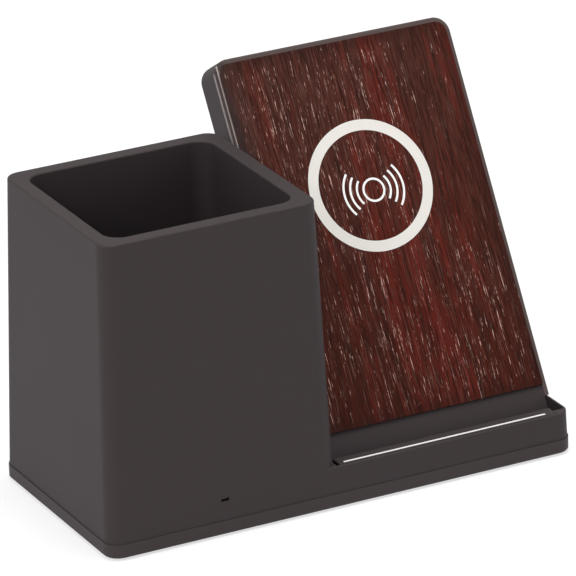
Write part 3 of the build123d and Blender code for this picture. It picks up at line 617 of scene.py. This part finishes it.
# %% Sizes of the sign, in metres
panel_out = Vector((0, -cos(lean), sin(lean)))
veneer_thickness = 0.0006
sign_rise = 0.00003
sign_sink = 0.0002
sign_offset = Vector((0.00065, -0.00161, 0))
circle_radius = 0.00365
circle_steps = 48
stroke = 0.00074
arcs_on_a_side = 3
arc_first = 0.00594
arc_spacing = 0.00233
arc_spread = radians(79)
arc_steps = 20
onto_panel = Matrix.Translation(ring_middle + panel_out * veneer_thickness / 2) @ (
    Euler((pi / 2 - lean, 0, 0)).to_matrix().to_4x4()
)
widest = arc_first + (arcs_on_a_side - 1) * arc_spacing
print("the outer arcs have a radius of", round(widest * millimetres, 1), "mm")

# %% Spin the strokes of the sign
def stroke_section(mesh, radius):
    """Four corners of a stroke, in the plane through the sign's axis."""
    inner, outer = radius - stroke / 2, radius + stroke / 2
    corners = [
        (inner, 0, -sign_sink), (outer, 0, -sign_sink),
        (outer, 0, sign_rise), (inner, 0, sign_rise),
    ]
    return mesh.faces.new([mesh.verts.new(corner) for corner in corners])


sign = bmesh.new()
section = stroke_section(sign, circle_radius)
bmesh.ops.spin(
    sign, geom=section.edges[:] + section.verts[:], cent=(0, 0, 0), axis=(0, 0, 1),
    angle=2 * pi, steps=circle_steps, use_merge=True,
)
bmesh.ops.delete(sign, geom=[section], context="FACES_ONLY")
for side in (0, pi):
    for count in range(arcs_on_a_side):
        section = stroke_section(sign, arc_first + count * arc_spacing)
        bmesh.ops.rotate(
            sign, cent=(0, 0, 0), verts=section.verts[:],
            matrix=Matrix.Rotation(side - arc_spread / 2, 3, "Z"),
        )
        bmesh.ops.spin(
            sign, geom=[section] + section.edges[:] + section.verts[:], cent=(0, 0, 0),
            axis=(0, 0, 1), angle=arc_spread, steps=arc_steps,
        )
bmesh.ops.translate(sign, verts=sign.verts, vec=sign_offset)
bmesh.ops.transform(sign, matrix=onto_panel, verts=sign.verts)
finished("charging_sign", sign, sign_white)

# %% [markdown]
# Crosses in the screws' heads
#
# The six screws of the bottom cover are driven with a cross driver. Each recess could be
# cut out of its head, but at this size a dark cross in the middle of the head, painted
# shade of the recess, reads the same and leaves the model's body as it is. The heads are
# found in the model: they are the lowest corners of the screws, and corners that lie close
# together belong to one head.

# %% Find the heads of the screws
head_width = 0.005
level_tolerance = 0.0001
screws = nodes["cover_screws"]
corners = [screws.matrix_world @ corner.co for corner in screws.data.vertices]
lowest = min(corner.z for corner in corners)
heads = []
for corner in corners:
    if corner.z - lowest < level_tolerance:
        known = [head for head in heads if (head[0] - corner).length < head_width]
        if known:
            known[0].append(corner)
        else:
            heads.append([corner])
print("screw heads:", len(heads))

# %% Lay a cross on each head
arm_size = (0.0026, 0.0006, 0.00006)

crosses = bmesh.new()
for head in heads:
    middle = sum(head, Vector()) / len(head)
    for angle in (pi / 4, 3 * pi / 4):
        arm = bmesh.ops.create_cube(crosses, size=1.0)["verts"]
        bmesh.ops.scale(crosses, verts=arm, vec=arm_size)
        bmesh.ops.rotate(crosses, verts=arm, matrix=Matrix.Rotation(angle, 3, "Z"))
        bmesh.ops.translate(crosses, verts=arm, vec=middle)
# each cross is a thin dark sheet of painted shade where the recess would be
finished("screw_crosses", crosses, painted_recess_shade)

# %% [markdown]
# Floor, light and background
#
# The object stands on a plain white floor in soft studio light. Dark satin plastic mostly
# shows what it reflects, so the room matters more than the lamps. A picture of a studio
# could stand all round, but two tones are enough: a white floor and a white wall, low, and
# a dim ceiling. One broad lamp from the upper left gives the left faces their lift, and
# one from above lights the rim, the panel and the cup's inside.

# %% White floor that keeps the shadow
floor_radius = 12.0
floor_sides = 64
floor_gap = 0.0001  # below the feet, whose soles would flicker in the same plane

floor_mesh = bmesh.new()
bmesh.ops.create_circle(
    floor_mesh, cap_ends=True, segments=floor_sides, radius=floor_radius,
    matrix=Matrix.Translation((0, 0, -floor_gap)),
)
floor_data = bpy.data.meshes.new("floor")
floor_mesh.to_mesh(floor_data)
floor_mesh.free()
floor = bpy.data.objects.new("floor", floor_data)
bpy.context.scene.collection.objects.link(floor)
print("floor of", round(floor.dimensions.x, 1), "m")

# %% Paper of the floor, which glows only to the camera and in reflections
floor_colour = (0.46, 0.46, 0.46, 1)
seen_glow = 0.64
mirrored_glow = 0.48

paper = bpy.data.materials.new("floor_paper")
paper.use_nodes = True
paper.node_tree.nodes.clear()
paper_net = Network(paper.node_tree)
seen, mirrored, through = (
    paper_net.node("LightPath", output="Is " + ray + " Ray")
    for ray in ("Camera", "Glossy", "Transmission")
)
dull = paper_net.node("BsdfDiffuse", {"Color": floor_colour})
glow = paper_net.node(
    "Emission", {"Strength": (seen + through) * seen_glow + mirrored * mirrored_glow},
)
both = paper_net.node("AddShader", {0: dull, 1: glow})
paper_net.node("OutputMaterial", {"Surface": both})
floor_data.materials.append(paper)
print("made", paper.name)

# %% Room that is white low down and dim above
wall_colour = (1.0, 1.0, 1.0)
ceiling_colour = (0.16, 0.16, 0.165)
ceiling_starts = 0.38
ceiling_ends = 0.56
room_strength = 0.8

world = bpy.data.worlds.new("studio")
bpy.context.scene.world = world
world.use_nodes = True
world.node_tree.nodes.clear()
room = Network(world.node_tree)
height = room.axis(room.node("TexCoord", output="Generated"), "Z")
ceiling = room.step(height, ceiling_starts, ceiling_ends)
room_light = room.mix(ceiling, wall_colour, ceiling_colour)
sky = room.node("Background", {"Color": room_light, "Strength": room_strength})
room.node("OutputWorld", {"Surface": sky})
print("the room's light is made of", len(world.node_tree.nodes), "nodes")

# %% Two soft lamps
lamps_aim = Vector((0, 0, 0.05))


def soft_lamp(name, place, size, power):
    """A round lamp that looks at the object; size in metres, power in watts."""
    light = bpy.data.lights.new(name, "AREA")
    light.shape = "DISK"
    light.size = size
    light.energy = power
    lamp = bpy.data.objects.new(name, light)
    lamp.location = place
    lamp.rotation_euler = (lamps_aim - Vector(place)).to_track_quat("-Z", "Y").to_euler()
    bpy.context.scene.collection.objects.link(lamp)


soft_lamp("key_lamp", place=(-1.6, -0.5, 1.5), size=0.9, power=12)
soft_lamp("top_lamp", place=(0.1, -0.1, 2.0), size=1.1, power=27)
bpy.context.scene.view_settings.view_transform = "Standard"
